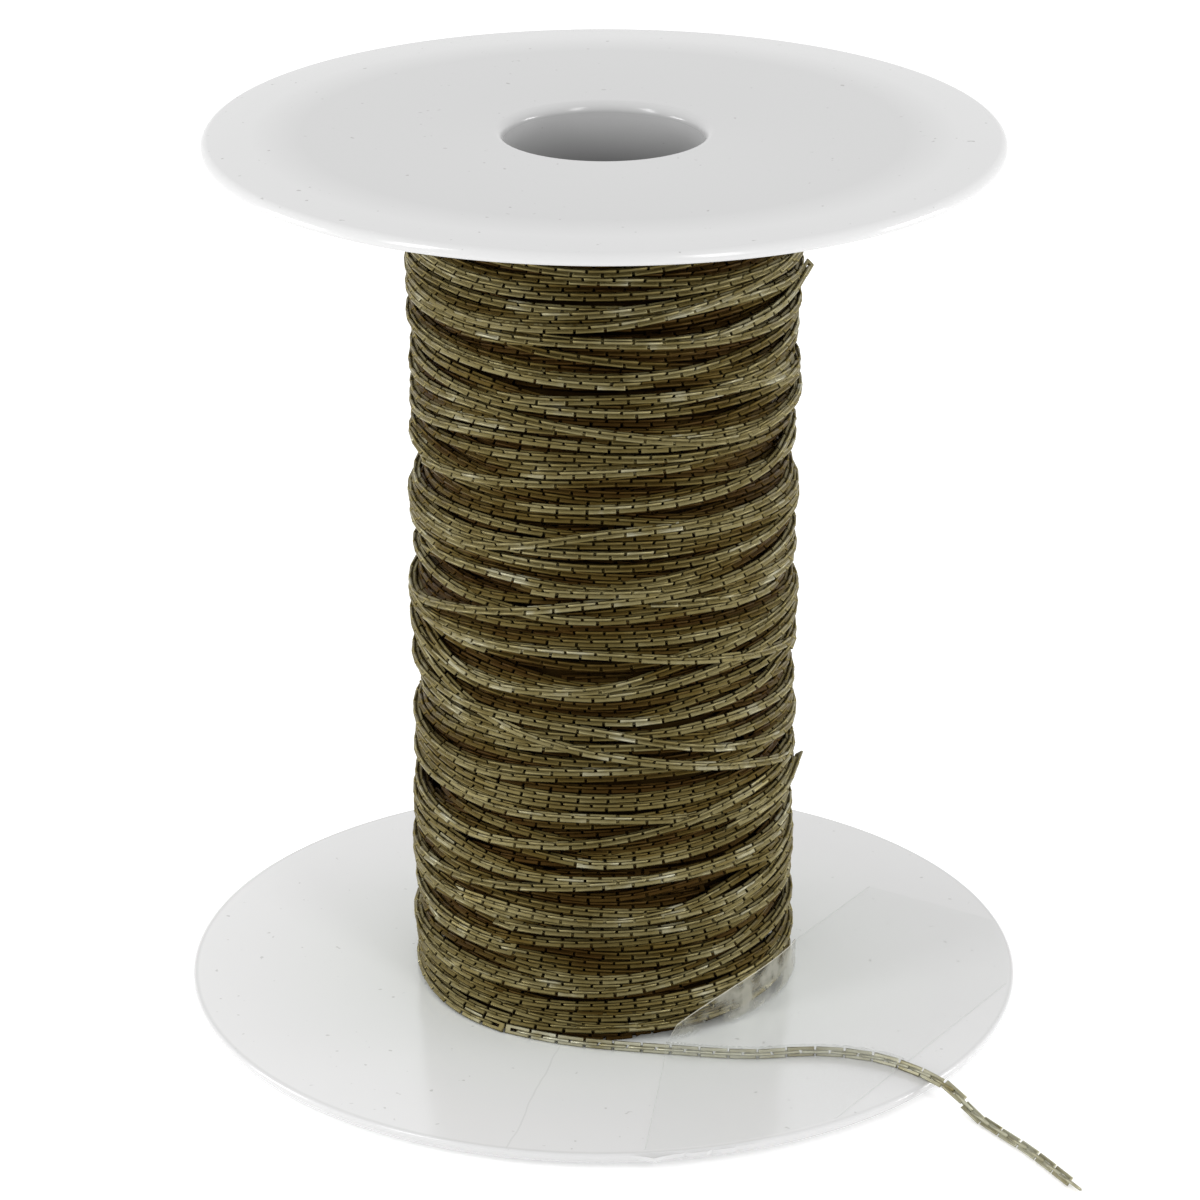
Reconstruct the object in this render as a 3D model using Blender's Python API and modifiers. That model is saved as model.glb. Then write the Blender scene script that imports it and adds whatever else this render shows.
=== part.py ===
"""A small plastic spool wound with fine brass chain, its free end taped down on the lower flange.

Metres, +Z up. The spool's axis is Z, and the lower flange's outer face rests on z = 0.
The spool is three mouldings: two flanges whose hubs press into the ends of a barrel. Two lengths of chain
are wound on it, one over the other. Between touching pieces there is a gap of CLEARANCE.
"""

import math

import bmesh
import bpy
import numpy as np
from mathutils import Vector

# ---- the sizes that can each be set by themselves -----------------------------------------------------
OVERALL_HEIGHT = 0.0738
UPPER_FLANGE_DIAMETER = 0.0635
LOWER_FLANGE_DIAMETER = 0.0690
BORE_DIAMETER = 0.01588
WINDING_DIAMETER = 0.0308

FLANGE_THICKNESS = 0.0016
RIM_THICKNESS = 0.0010
RIM_RING_WIDTH = 0.0060  # the ring between the flat disc and the rim, where the flange thins
UPPER_RING_DROP = 0.0001  # how far the upper flange's outer face falls; the rest is on its inner face
MOUTH_RADIUS = 0.0008  # the rounded edge where the bore opens
HUB_WALL = 0.0010
HUB_LENGTH = 0.0120
BARREL_WALL = 0.0011

CHAIN_WIDTH = 0.0008
START_TAPE_WIDTH = 0.0120
START_TAPE_ARC = math.radians(110)
TAPE_THICKNESS = 0.00025
TAPE_WIDTH = 0.0190
TAPE_LENGTH = 0.0380
TAPE_HEADING = math.radians(57)  # the strip's direction on the flange, from +X towards +Y
TAPE_LAP = 0.0017  # how far the strip's inner edge runs in under the winding's radius
TAPE_START = -0.0140  # along the strip, from the point nearest to the axis to its front end

CLEARANCE = 0.0003
TAIL_LIFT = 0.0002  # between the tail and what it lies on
RIM_DROP_LENGTH = 0.0050  # the stretch in which the tail comes down from the rim
GROUND_LIFT = 0.00005

WINDING_BULGE = 0.00025  # how much the wound bundles swell and pinch
WINDING_BULGES = 5
WINDING_CORNER = 0.0007  # the first and last turns sit a little further in

# ---- what follows from them ---------------------------------------------------------------------------
UPPER_RADIUS = UPPER_FLANGE_DIAMETER / 2
LOWER_RADIUS = LOWER_FLANGE_DIAMETER / 2
BORE_RADIUS = BORE_DIAMETER / 2
HUB_RADIUS = BORE_RADIUS + HUB_WALL
BARREL_INNER_RADIUS = HUB_RADIUS + CLEARANCE
BARREL_RADIUS = BARREL_INNER_RADIUS + BARREL_WALL
START_TAPE_RADIUS = BARREL_RADIUS + CLEARANCE
INNER_WINDING_RADIUS = START_TAPE_RADIUS + TAPE_THICKNESS + CLEARANCE
WINDING_RADIUS = WINDING_DIAMETER / 2
WINDING_SPLIT = (INNER_WINDING_RADIUS + WINDING_RADIUS) / 2
CHAIN_RADIUS = CHAIN_WIDTH / 2
LOWER_FACE = FLANGE_THICKNESS  # the lower flange's inner face
UPPER_FACE = OVERALL_HEIGHT - FLANGE_THICKNESS
WINDING_BOTTOM = LOWER_FACE + CLEARANCE
WINDING_TOP = UPPER_FACE - CLEARANCE
SURFACE_CHAIN_RADIUS = WINDING_RADIUS + CLEARANCE + CHAIN_RADIUS  # centre of a strand lying on the winding

FLANGE_STEPS = 96
CORE_STEPS = 48
WINDING_STEPS = 64
CORD_SIDES_RESOLUTION = 2

# The tail's route seen from above: first round the winding, at these angles and this much further out,
# then across the flange, as places along X and distances out from the winding's front.
TAIL_ON_WINDING = [(-118, 0.0000), (-108.5, 0.0001), (-99, 0.0004)]
TAIL_ACROSS = [
    (0.0000, 0.0015), (0.0029, 0.0020), (0.0061, 0.0025), (0.0094, 0.0030), (0.0126, 0.00315),
    (0.0158, 0.00275), (0.0190, 0.0029), (0.0222, 0.00395), (0.0247, 0.00575), (0.0264, 0.0075),
    (0.0274, 0.0084), (0.0283, 0.00925), (0.0292, 0.01035), (0.03005, 0.0116), (0.0309, 0.0129),
    (0.03175, 0.0142), (0.0326, 0.0154), (0.0334, 0.0167), (0.0342, 0.0181), (0.0350, 0.0196),
    (0.0358, 0.0211), (0.0365, 0.0223),
]  # fmt: skip

# Where each cut chain end lies on the winding: height, the angle where it starts, the angle where it
# lifts off, how far it then stands straight off, and its climb in all.
INNER_END = (0.0608, math.radians(-62), math.radians(-24), 0.0048, 0.0022)
OUTER_START = (0.0190, math.radians(-48), math.radians(-16), 0.0034, 0.0012)


# ---- tools ---------------------------------------------------------------------------------------------
def clear_scene():
    for old in list(bpy.data.objects):
        bpy.data.objects.remove(old, do_unlink=True)


def collection(name):
    made = bpy.data.collections.new(name)
    bpy.context.scene.collection.children.link(made)
    return made


def finish_material(name, colour, roughness, metallic=0.0, alpha=1.0):
    made = bpy.data.materials.new(name)
    made.use_nodes = True
    shader = made.node_tree.nodes["Principled BSDF"]
    shader.inputs["Base Color"].default_value = (*colour, 1.0)
    shader.inputs["Roughness"].default_value = roughness
    shader.inputs["Metallic"].default_value = metallic
    shader.inputs["Alpha"].default_value = alpha
    return made


def new_object(name, mesh, into, material=None):
    made = bpy.data.objects.new(name, mesh)
    into.objects.link(made)
    if material:
        mesh.materials.append(material)
    return made


def turned(name, outline, steps, into, material=None):
    """Turns a closed outline of (radius, height) points about Z. The outline runs down its outer side."""
    mesh = bpy.data.meshes.new(name)
    count = len(outline)
    mesh.from_pydata(
        [(r, 0.0, z) for r, z in outline], [(i, (i + 1) % count) for i in range(count)], []
    )
    made = new_object(name, mesh, into, material)
    screw = made.modifiers.new("turn", "SCREW")
    screw.steps = steps
    screw.render_steps = steps
    screw.use_merge_vertices = True
    screw.merge_threshold = 0.00001
    screw.use_smooth_shade = True
    return made


def arc(centre_r, centre_z, radius, start, end, points):
    """Points on an arc in the section plane, angles in degrees, 0 pointing outwards and 90 up."""
    angles = np.radians(np.linspace(start, end, points))
    return [(centre_r + radius * math.cos(a), centre_z + radius * math.sin(a)) for a in angles]


def smooth_curve(points, spacing):
    """A smooth curve through the points (Catmull-Rom), read off at about the given spacing."""
    points = np.array(points)
    padded = np.vstack([2 * points[0] - points[1], points, 2 * points[-1] - points[-2]])
    fine = []
    for before, start, end, after in zip(padded, padded[1:], padded[2:], padded[3:]):
        for t in np.linspace(0, 1, 16, endpoint=False):
            fine.append(
                0.5 * (2 * start + (end - before) * t
                + (2 * before - 5 * start + 4 * end - after) * t**2
                + (3 * start - before - 3 * end + after) * t**3)
            )  # fmt: skip
    fine.append(points[-1])
    fine = np.array(fine)
    along = np.concatenate([[0], np.cumsum(np.linalg.norm(np.diff(fine, axis=0), axis=1))])
    stops = np.linspace(0, along[-1], max(2, round(along[-1] / spacing)) + 1)
    return np.column_stack([np.interp(stops, along, fine[:, axis]) for axis in range(3)])


def strand(name, points, into, material):
    """A round strand with closed ends along the points."""
    curve = bpy.data.curves.new(name, "CURVE")
    curve.dimensions = "3D"
    curve.bevel_depth = CHAIN_RADIUS
    curve.bevel_resolution = CORD_SIDES_RESOLUTION
    curve.use_fill_caps = True
    spline = curve.splines.new("POLY")
    spline.points.add(len(points) - 1)
    for place, point in zip(spline.points, points):
        place.co = (*point, 1.0)
    made = bpy.data.objects.new(name, curve)
    into.objects.link(made)
    curve.materials.append(material)
    return made


# ---- the spool -----------------------------------------------------------------------------------------
def flange_outline(rim_radius, drop):
    """The section of a flange with its outer face up at height 0: disc, thinning ring, rim, hub and bore.
    The outer face falls by drop towards the rim, and the inner face rises by the rest."""
    flat_radius = rim_radius - RIM_RING_WIDTH
    rise = FLANGE_THICKNESS - RIM_THICKNESS - drop
    edge = RIM_THICKNESS * 0.45
    blend = RIM_RING_WIDTH / 5
    outline = [(flat_radius - blend, 0.0), (flat_radius, -drop / 14), (flat_radius + blend, -drop / 4)]
    outline += arc(rim_radius - edge, -drop - edge, edge, 80, 0, 4)
    outline += arc(rim_radius - edge, -FLANGE_THICKNESS + rise + edge, edge, 0, -90, 4)[1:]
    if rise > 0:
        outline += [(flat_radius, -FLANGE_THICKNESS)]
    outline += [
        (HUB_RADIUS, -FLANGE_THICKNESS),
        (HUB_RADIUS, -FLANGE_THICKNESS - HUB_LENGTH),
        (BORE_RADIUS, -FLANGE_THICKNESS - HUB_LENGTH),
    ]
    outline += arc(BORE_RADIUS + MOUTH_RADIUS, -MOUTH_RADIUS, MOUTH_RADIUS, 180, 90, 6)
    return outline


def make_upper_flange(into, plastic):
    outline = [(r, OVERALL_HEIGHT + z) for r, z in flange_outline(UPPER_RADIUS, UPPER_RING_DROP)]
    return turned("upper_flange", outline, FLANGE_STEPS, into, plastic)


def make_lower_flange(into, plastic):
    drop = FLANGE_THICKNESS - RIM_THICKNESS
    outline = [(r, -z) for r, z in reversed(flange_outline(LOWER_RADIUS, drop))]
    return turned("lower_flange", outline, FLANGE_STEPS, into, plastic)


def make_barrel(into, plastic):
    """The tube between the flanges. The hubs press into its ends."""
    top, bottom = UPPER_FACE - CLEARANCE, LOWER_FACE + CLEARANCE
    outline = [
        (BARREL_RADIUS, top), (BARREL_RADIUS, bottom),
        (BARREL_INNER_RADIUS, bottom), (BARREL_INNER_RADIUS, top),
    ]  # fmt: skip
    return turned("barrel", outline, CORE_STEPS, into, plastic)


# ---- the two wound lengths of chain --------------------------------------------------------------------
def make_start_tape(into, film):
    """The strip round the barrel that holds the first end of the chain, under the whole winding."""
    steps = 16
    angles = np.linspace(0, START_TAPE_ARC, steps + 1)
    low = LOWER_FACE + (UPPER_FACE - LOWER_FACE - START_TAPE_WIDTH) / 2
    mesh = bpy.data.meshes.new("start_tape")
    shape = bmesh.new()
    section = [
        (START_TAPE_RADIUS + TAPE_THICKNESS, low + START_TAPE_WIDTH),
        (START_TAPE_RADIUS + TAPE_THICKNESS, low),
        (START_TAPE_RADIUS, low),
        (START_TAPE_RADIUS, low + START_TAPE_WIDTH),
    ]
    rings = [
        [shape.verts.new((r * math.cos(a), r * math.sin(a), z)) for r, z in section] for a in angles
    ]
    for near, far in zip(rings, rings[1:]):
        for i in range(4):
            shape.faces.new((near[i], near[(i + 1) % 4], far[(i + 1) % 4], far[i]))
    shape.faces.new(reversed(rings[0]))
    shape.faces.new(rings[-1])
    bmesh.ops.recalc_face_normals(shape, faces=shape.faces)
    shape.to_mesh(mesh)
    shape.free()
    return new_object("start_tape", mesh, into, film)


def make_inner_winding(into, brass):
    outline = [
        (WINDING_SPLIT - CLEARANCE / 2, WINDING_TOP), (WINDING_SPLIT - CLEARANCE / 2, WINDING_BOTTOM),
        (INNER_WINDING_RADIUS, WINDING_BOTTOM), (INNER_WINDING_RADIUS, WINDING_TOP),
    ]  # fmt: skip
    return turned("inner_winding", outline, WINDING_STEPS, into, brass)


def make_outer_winding(into, brass):
    """The outer length as a turned ring, swelling where the turns lie in bundles."""
    heights = np.linspace(WINDING_TOP, WINDING_BOTTOM, 4 * WINDING_BULGES + 1)
    share = (WINDING_TOP - heights) / (WINDING_TOP - WINDING_BOTTOM)
    radii = WINDING_RADIUS - WINDING_BULGE * (0.5 - 0.5 * np.cos(2 * math.pi * WINDING_BULGES * share))
    radii[[0, -1]] -= WINDING_CORNER
    outline = list(zip(radii, heights))
    outline += [
        (WINDING_SPLIT + CLEARANCE / 2, WINDING_BOTTOM),
        (WINDING_SPLIT + CLEARANCE / 2, WINDING_TOP),
    ]
    return turned("outer_winding", outline, WINDING_STEPS, into, brass)


def chain_end_points(height, start, lift_off, stand_off, climb):
    """A strand lying round the winding, then leaving it in a straight line."""
    r = SURFACE_CHAIN_RADIUS
    around = r * (lift_off - start)
    total = around + stand_off
    points = []
    for s in np.linspace(0, total, max(4, round(total / (2 * CHAIN_WIDTH))) + 1):
        angle = start + min(s, around) / r
        past = max(0.0, s - around)
        x = r * math.cos(angle) - past * math.sin(angle)
        y = r * math.sin(angle) + past * math.cos(angle)
        points.append((x, y, height + climb * s / total))
    return points


def tail_height(x, y):
    """The height of the tail's centre: on the lower flange, down over its rim, then on the ground."""
    on_flange = LOWER_FACE + TAIL_LIFT + CHAIN_RADIUS
    on_ground = GROUND_LIFT + CHAIN_RADIUS
    past_rim = (math.hypot(x, y) - LOWER_RADIUS - CHAIN_RADIUS) / RIM_DROP_LENGTH
    share = min(1.0, max(0.0, past_rim))
    return on_flange + (on_ground - on_flange) * share * share * (3 - 2 * share)


def tail_points():
    plan = []
    for degrees, further in TAIL_ON_WINDING:
        r = SURFACE_CHAIN_RADIUS + further
        plan.append((r * math.cos(math.radians(degrees)), r * math.sin(math.radians(degrees))))
    plan += [(x, -(WINDING_RADIUS + out)) for x, out in TAIL_ACROSS]
    route = smooth_curve([(x, y, 0.0) for x, y in plan], 2.2 * CHAIN_WIDTH)
    return [(x, y, tail_height(x, y)) for x, y, _ in route]


# ---- the tape over the tail ----------------------------------------------------------------------------
def distance_to(points, x, y):
    """How far (x, y) is from the line through the points, seen from above."""
    best = math.inf
    for start, end in zip(points, points[1:]):
        a, b = Vector(start[:2]), Vector(end[:2])
        step = b - a
        share = min(1.0, max(0.0, (Vector((x, y)) - a).dot(step) / step.length_squared))
        best = min(best, (Vector((x, y)) - a - step * share).length)
    return best


def make_tail_tape(into, cutters, film):
    """A strip lying on the lower flange and tented over the tail, cut to the rim and round the winding."""
    along = Vector((math.cos(TAPE_HEADING), math.sin(TAPE_HEADING)))
    out = Vector((along.y, -along.x))
    rows, columns = 32, 16
    flat = LOWER_FACE + CLEARANCE
    tent = TAIL_LIFT + CHAIN_WIDTH
    level, slope = CHAIN_WIDTH, 3 * CHAIN_WIDTH
    route = tail_points()
    shape = bmesh.new()
    grid = []
    for i in range(rows + 1):
        line = []
        for j in range(columns + 1):
            place = along * (TAPE_START + TAPE_LENGTH * i / rows)
            place += out * (WINDING_RADIUS - TAPE_LAP + TAPE_WIDTH * j / columns)
            near = (slope - distance_to(route, place.x, place.y)) / (slope - level)
            share = min(1.0, max(0.0, near))
            line.append(shape.verts.new((place.x, place.y, flat + tent * share)))
        grid.append(line)
    for i in range(rows):
        for j in range(columns):
            shape.faces.new((grid[i][j], grid[i][j + 1], grid[i + 1][j + 1], grid[i + 1][j]))
    mesh = bpy.data.meshes.new("tail_tape")
    shape.to_mesh(mesh)
    shape.free()
    made = new_object("tail_tape", mesh, into, film)
    thick = made.modifiers.new("thickness", "SOLIDIFY")
    thick.thickness = TAPE_THICKNESS
    thick.offset = 1.0

    reach = 4 * (FLANGE_THICKNESS + CHAIN_WIDTH)
    outer, inner = LOWER_RADIUS - CLEARANCE, WINDING_RADIUS + CLEARANCE
    ring = [(outer, reach), (outer, 0.0), (inner, 0.0), (inner, reach)]
    cutter = turned("tape_trim", ring, FLANGE_STEPS, cutters)
    cutter.hide_render = True
    cutter.display_type = "WIRE"
    trim = made.modifiers.new("trim", "BOOLEAN")
    trim.operation = "INTERSECT"
    trim.object = cutter
    return made


def main():
    clear_scene()
    parts = collection("chain_spool")
    cutters = collection("cutters")
    plastic = finish_material("flange_plastic", (0.78, 0.79, 0.78), 0.38)
    barrel_plastic = finish_material("barrel_plastic", (0.72, 0.73, 0.72), 0.45)
    brass = finish_material("antique_brass", (0.19, 0.16, 0.09), 0.42, metallic=1.0)
    film = finish_material("clear_film", (0.85, 0.87, 0.84), 0.20, alpha=0.3)

    make_upper_flange(parts, plastic)
    make_lower_flange(parts, plastic)
    make_barrel(parts, barrel_plastic)
    make_start_tape(parts, film)
    make_inner_winding(parts, brass)
    make_outer_winding(parts, brass)
    strand("inner_chain_end", chain_end_points(*INNER_END), parts, brass)
    strand("outer_chain_start", chain_end_points(*OUTER_START), parts, brass)
    strand("chain_tail", tail_points(), parts, brass)
    make_tail_tape(parts, cutters, film)


main()
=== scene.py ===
# %% [markdown]
# # A spool of fine box chain
# The real object is a small white plastic spool that stands on end, wound with antiqued brass chain.
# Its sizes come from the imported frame. This script adds what makes it look real: the moulded plastic,
# thousands of small links, and the clear tape that holds the chain's free end.

# %% The frame
import math

import bpy
import numpy as np
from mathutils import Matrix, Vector


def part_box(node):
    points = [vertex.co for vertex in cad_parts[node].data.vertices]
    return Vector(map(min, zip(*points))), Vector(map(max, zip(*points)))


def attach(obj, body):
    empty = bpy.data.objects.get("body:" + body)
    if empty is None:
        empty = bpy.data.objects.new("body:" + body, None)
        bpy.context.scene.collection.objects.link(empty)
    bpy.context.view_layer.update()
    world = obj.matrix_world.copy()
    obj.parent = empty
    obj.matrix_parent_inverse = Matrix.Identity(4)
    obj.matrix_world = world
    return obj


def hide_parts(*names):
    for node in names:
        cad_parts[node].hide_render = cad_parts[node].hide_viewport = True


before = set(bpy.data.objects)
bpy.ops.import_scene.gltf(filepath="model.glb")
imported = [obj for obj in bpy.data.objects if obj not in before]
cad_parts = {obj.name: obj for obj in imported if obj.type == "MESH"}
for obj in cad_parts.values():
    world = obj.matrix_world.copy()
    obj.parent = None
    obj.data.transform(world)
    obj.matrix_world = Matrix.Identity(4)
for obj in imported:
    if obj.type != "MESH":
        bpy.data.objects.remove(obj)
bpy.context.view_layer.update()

MM = 0.001
BODY = "root"
scene = bpy.context.scene
print("nodes:", sorted(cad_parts))

# %% [markdown]
# ## Camera
# A long lens from well back keeps the two flanges nearly the same size on the picture, as a product
# photographer would do. The camera looks down at about 22 degrees and nothing leans, so one rotation
# about X is enough.

# %% Camera
CAMERA_PLACE = (-0.31 * MM, -348.9 * MM, 174.5 * MM)
CAMERA_DOWN = 0.3828
FOCAL_LENGTH, SENSOR = 138.0, 36.0
lens = bpy.data.cameras.new("camera")
lens.lens, lens.sensor_width = FOCAL_LENGTH, SENSOR
lens.clip_start, lens.clip_end = 0.01, 50.0
camera = bpy.data.objects.new("camera", lens)
camera.location = CAMERA_PLACE
camera.rotation_euler = (math.pi / 2 - CAMERA_DOWN, 0.0, 0.0)
scene.collection.objects.link(camera)
scene.camera = camera
print("camera looks down by", round(math.degrees(CAMERA_DOWN), 1), "degrees")

# %% [markdown]
# ## Sizes read from the frame
# Every place below is worked out from the CAD nodes' boxes: the faces of the flanges, the bore, the
# radius of the winding. If the spool were wider or taller, the chain and the tape would follow.

# %% Sizes
upper_box, lower_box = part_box("upper_flange"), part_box("lower_flange")
winding_box, barrel_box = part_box("outer_winding"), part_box("barrel")
FACE_GAP = 0.3 * MM
SPOOL_HEIGHT = upper_box[1].z
UPPER_RADIUS, LOWER_RADIUS = upper_box[1].x, lower_box[1].x
WINDING_RADIUS = winding_box[1].x
LOWER_FACE, UPPER_FACE = winding_box[0].z - FACE_GAP, winding_box[1].z + FACE_GAP
FLANGE_THICKNESS = LOWER_FACE
HUB_LENGTH = lower_box[1].z - LOWER_FACE
BARREL_WALL, HUB_WALL = 1.1 * MM, 1.0 * MM
HUB_RADIUS = barrel_box[1].x - BARREL_WALL - FACE_GAP
BORE_RADIUS = HUB_RADIUS - HUB_WALL
print(f"winding radius {WINDING_RADIUS / MM:.2f}, bore radius {BORE_RADIUS / MM:.2f} mm")

# %% [markdown]
# ## The flanges
# Each flange is one moulding: a flat disc, an outer ring where it thins, a rounded rim, a hub that
# presses into the barrel, and the bore. Like most turned shapes it is one section swept round an axis.
# The section follows the CAD one with finer arcs, so that the rim stays round in a close view.

# %% Turned shapes
FLANGE_STEPS = 256
SHARP_ANGLE = math.radians(38)


def arc(centre_r, centre_z, radius, start, end, points):
    """Points on an arc in the section plane, angles in degrees, 0 pointing outwards and 90 up."""
    angles = np.radians(np.linspace(start, end, points))
    return [(centre_r + radius * math.cos(a), centre_z + radius * math.sin(a)) for a in angles]


def new_object(name, mesh, material):
    made = bpy.data.objects.new(name, mesh)
    scene.collection.objects.link(made)
    mesh.materials.append(material)
    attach(made, BODY)
    return made


def turned_mesh(name, outline, steps, reach=None):
    """A closed outline of (radius, height) points turned about Z. reach moves a point outwards by angle."""
    count = len(outline)
    points = []
    for step in range(steps):
        a = 2 * math.pi * step / steps
        for r, z in outline:
            far = r + (reach(a, r, z) if reach else 0.0)
            points.append((far * math.cos(a), far * math.sin(a), z))
    faces = []
    for step in range(steps):
        here, there = step * count, (step + 1) % steps * count
        for i in range(count):
            after = (i + 1) % count
            faces.append((here + i, there + i, there + after, here + after))
    mesh = bpy.data.meshes.new(name)
    mesh.from_pydata(points, [], faces)
    mesh.polygons.foreach_set("use_smooth", [True] * len(faces))
    mesh.set_sharp_from_angle(angle=SHARP_ANGLE)
    return mesh


# %% The section of a flange
RIM_RING_WIDTH, RIM_THICKNESS, MOUTH_RADIUS = 6.0 * MM, 1.0 * MM, 0.8 * MM
UPPER_RING_DROP = 0.1 * MM


def flange_outline(rim_radius, drop):
    """The section with its outer face up at height 0: disc, thinning ring, rim, hub and bore. The outer
    face falls by drop towards the rim, and the inner face rises by the rest."""
    flat, rise = rim_radius - RIM_RING_WIDTH, FLANGE_THICKNESS - RIM_THICKNESS - drop
    over, under, blend = RIM_THICKNESS * 0.75, RIM_THICKNESS * 0.25, RIM_RING_WIDTH / 4
    mouth = arc(BORE_RADIUS + MOUTH_RADIUS, -MOUTH_RADIUS, MOUTH_RADIUS, 180, 90, 12)
    outline = [(flat - blend + 2 * blend * t, -drop * t * t * blend / RIM_RING_WIDTH)
               for t in np.linspace(0, 1, 7)]
    outline += arc(rim_radius - over, -drop - over, over, 82, 0, 14)
    outline += arc(rim_radius - under, -FLANGE_THICKNESS + rise + under, under, 0, -90, 7)[1:]
    if rise > 0:
        outline += [(flat, -FLANGE_THICKNESS)]
    outline += [(HUB_RADIUS, -FLANGE_THICKNESS), (HUB_RADIUS, -FLANGE_THICKNESS - HUB_LENGTH),
                (BORE_RADIUS, -FLANGE_THICKNESS - HUB_LENGTH)]
    return outline + mouth


# %% [markdown]
# The lower flange has a ragged flash: a thin fin where plastic crept between the mould's halves. It is
# only on a short stretch of the rim at the front, with one fatter crumb.

# %% Flash on the lower rim
FLASH_FROM, FLASH_TO, FLASH_REACH = math.radians(272), math.radians(292), 0.30 * MM
CRUMB_ANGLE, CRUMB_WIDTH, CRUMB_REACH = math.radians(276.5), math.radians(1.3), 0.55 * MM


def flash(angle, r, z):
    """How far the fin stands out. Only the middle of the rim has it."""
    if r < LOWER_RADIUS - 0.05 * MM:
        return 0.0
    share = (angle - FLASH_FROM) / (FLASH_TO - FLASH_FROM)
    fin = 0.0
    if 0 < share < 1:
        ragged = 0.55 + 0.3 * math.sin(angle * 210) + 0.25 * math.sin(angle * 97 + 1)
        fin = FLASH_REACH * max(0.0, ragged) * math.sin(math.pi * share)
    return fin + CRUMB_REACH * math.exp(-((angle - CRUMB_ANGLE) / CRUMB_WIDTH) ** 2)


# %% [markdown]
# ## Materials
# Each finish is a Principled shader. What several finishes share, such as slight unevenness, is a node
# group that gives a colour, a roughness and a height for a bump. Nothing is an image, so the finishes
# work at any size.

# %% Node helpers
PLASTIC_IOR = 1.59
KINDS = {"Color": "NodeSocketColor", "Roughness": "NodeSocketFloat", "Alpha": "NodeSocketFloat",
         "Metallic": "NodeSocketFloat", "Height": "NodeSocketFloat"}


def new_group(name, *outputs):
    made = bpy.data.node_groups.new(name, "ShaderNodeTree")
    for output in outputs:
        made.interface.new_socket(output, in_out="OUTPUT", socket_type=KINDS[output])
    return made


def add(tree, kind, **settings):
    """A node with its settings. A setting named after an input socket sets that socket."""
    made = tree.nodes.new("ShaderNode" + kind)
    for name, value in settings.items():
        socket = name.replace("_", " ")
        if socket in made.inputs:
            made.inputs[socket].default_value = value
        else:
            setattr(made, name, value)
    return made


def mathematics(tree, operation, first, second=None, third=None):
    made = add(tree, "Math", operation=operation)
    for socket, value in zip(made.inputs, (first, second, third)):
        if isinstance(value, (int, float)):
            socket.default_value = value
        elif value is not None:
            tree.links.new(value, socket)
    return made.outputs[0]


def ramp(tree, factor, *stops):
    """A colour ramp with (place, colour) stops. A number stands for a grey."""
    made = add(tree, "ValToRGB")
    while len(made.color_ramp.elements) < len(stops):
        made.color_ramp.elements.new(0.5)
    for element, (place, colour) in zip(made.color_ramp.elements, stops):
        element.position = place
        element.color = (*colour, 1.0) if isinstance(colour, tuple) else (colour, colour, colour, 1.0)
    tree.links.new(factor, made.inputs["Fac"])
    return made.outputs["Color"]


def mix(tree, factor, first, second):
    made = add(tree, "Mix", data_type="RGBA")
    for socket, value in ((made.inputs[0], factor), (made.inputs[6], first), (made.inputs[7], second)):
        if isinstance(value, (int, float)):
            socket.default_value = value
        elif isinstance(value, tuple):
            socket.default_value = (*value, 1.0)
        else:
            tree.links.new(value, socket)
    return made.outputs[2]


def noise(tree, scale, detail=2.0, roughness=0.5):
    coordinates = add(tree, "TexCoord")
    made = add(tree, "TexNoise", Scale=scale, Detail=detail, Roughness=roughness)
    tree.links.new(coordinates.outputs["Object"], made.inputs["Vector"])
    return made.outputs["Fac"]


def material(name, group, metallic=0.0, alpha=None, bump=None):
    """A Principled material fed by a group's outputs."""
    made = bpy.data.materials.new(name)
    made.use_nodes = True
    tree = made.node_tree
    shader = tree.nodes["Principled BSDF"]
    shader.inputs["Metallic"].default_value = metallic
    shader.inputs["IOR"].default_value = PLASTIC_IOR
    source = add(tree, "Group")
    source.node_tree = group
    for output in source.outputs:
        if output.name == "Height":
            relief = add(tree, "Bump", Strength=bump[0], Distance=bump[1])
            tree.links.new(output, relief.inputs["Height"])
            tree.links.new(relief.outputs["Normal"], shader.inputs["Normal"])
        else:
            socket = "Base Color" if output.name == "Color" else output.name
            tree.links.new(output, shader.inputs[socket])
    return made


# %% [markdown]
# ** The plastic.** White polystyrene looks grey-white beside a pure white floor. The upper flange's outer
# ring is a little lighter than its disc: painted light, for the light that comes through the thinner
# plastic there. Down the bore the upper flange darkens with depth, as painted shade. The lower flange
# darkens from left to right as painted shade, with a green tint near the chain, and it has a hairline
# stress mark that runs from the winding to the rim. Its rim is darkened as painted shade, so the lit
# rim wall looks as dark as the face. Both have fine dirt and scuffs.

# %% Plastic
# DIRT is real dirt. The second colour is painted shade deep in the bore, the third painted shade on the
# lower rim.
DIRT, BORE_SHADE_COLOUR, RIM_SHADE_COLOUR = (0.22, 0.215, 0.20), (0.11, 0.11, 0.11), (0.56, 0.56, 0.56)
RING_BLEND, BORE_SHADE_DEPTH, TINT_REACH = 4 * MM, 12 * MM, 14 * MM


def dirt_of(tree):
    """Sparse dark specks and faint scuffs, 0 where clean."""
    specks = ramp(tree, noise(tree, 1500.0, 1.0), (0.755, 0.0), (0.80, 1.0))
    coordinates = add(tree, "TexCoord")
    stretch = add(tree, "Mapping", Scale=(1.0, 5.0, 1.0), Rotation=(0.0, 0.0, 0.5))
    tree.links.new(coordinates.outputs["Object"], stretch.inputs["Vector"])
    scuff = add(tree, "TexNoise", Scale=900.0, Detail=4.0, Roughness=0.7)
    tree.links.new(stretch.outputs["Vector"], scuff.inputs["Vector"])
    scuffs = ramp(tree, scuff.outputs["Fac"], (0.68, 0.0), (0.80, 1.0))
    patches = ramp(tree, noise(tree, 90.0), (0.52, 0.0), (0.66, 1.0))
    return mathematics(tree, "MAXIMUM", specks, mathematics(tree, "MULTIPLY", scuffs, patches))


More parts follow.
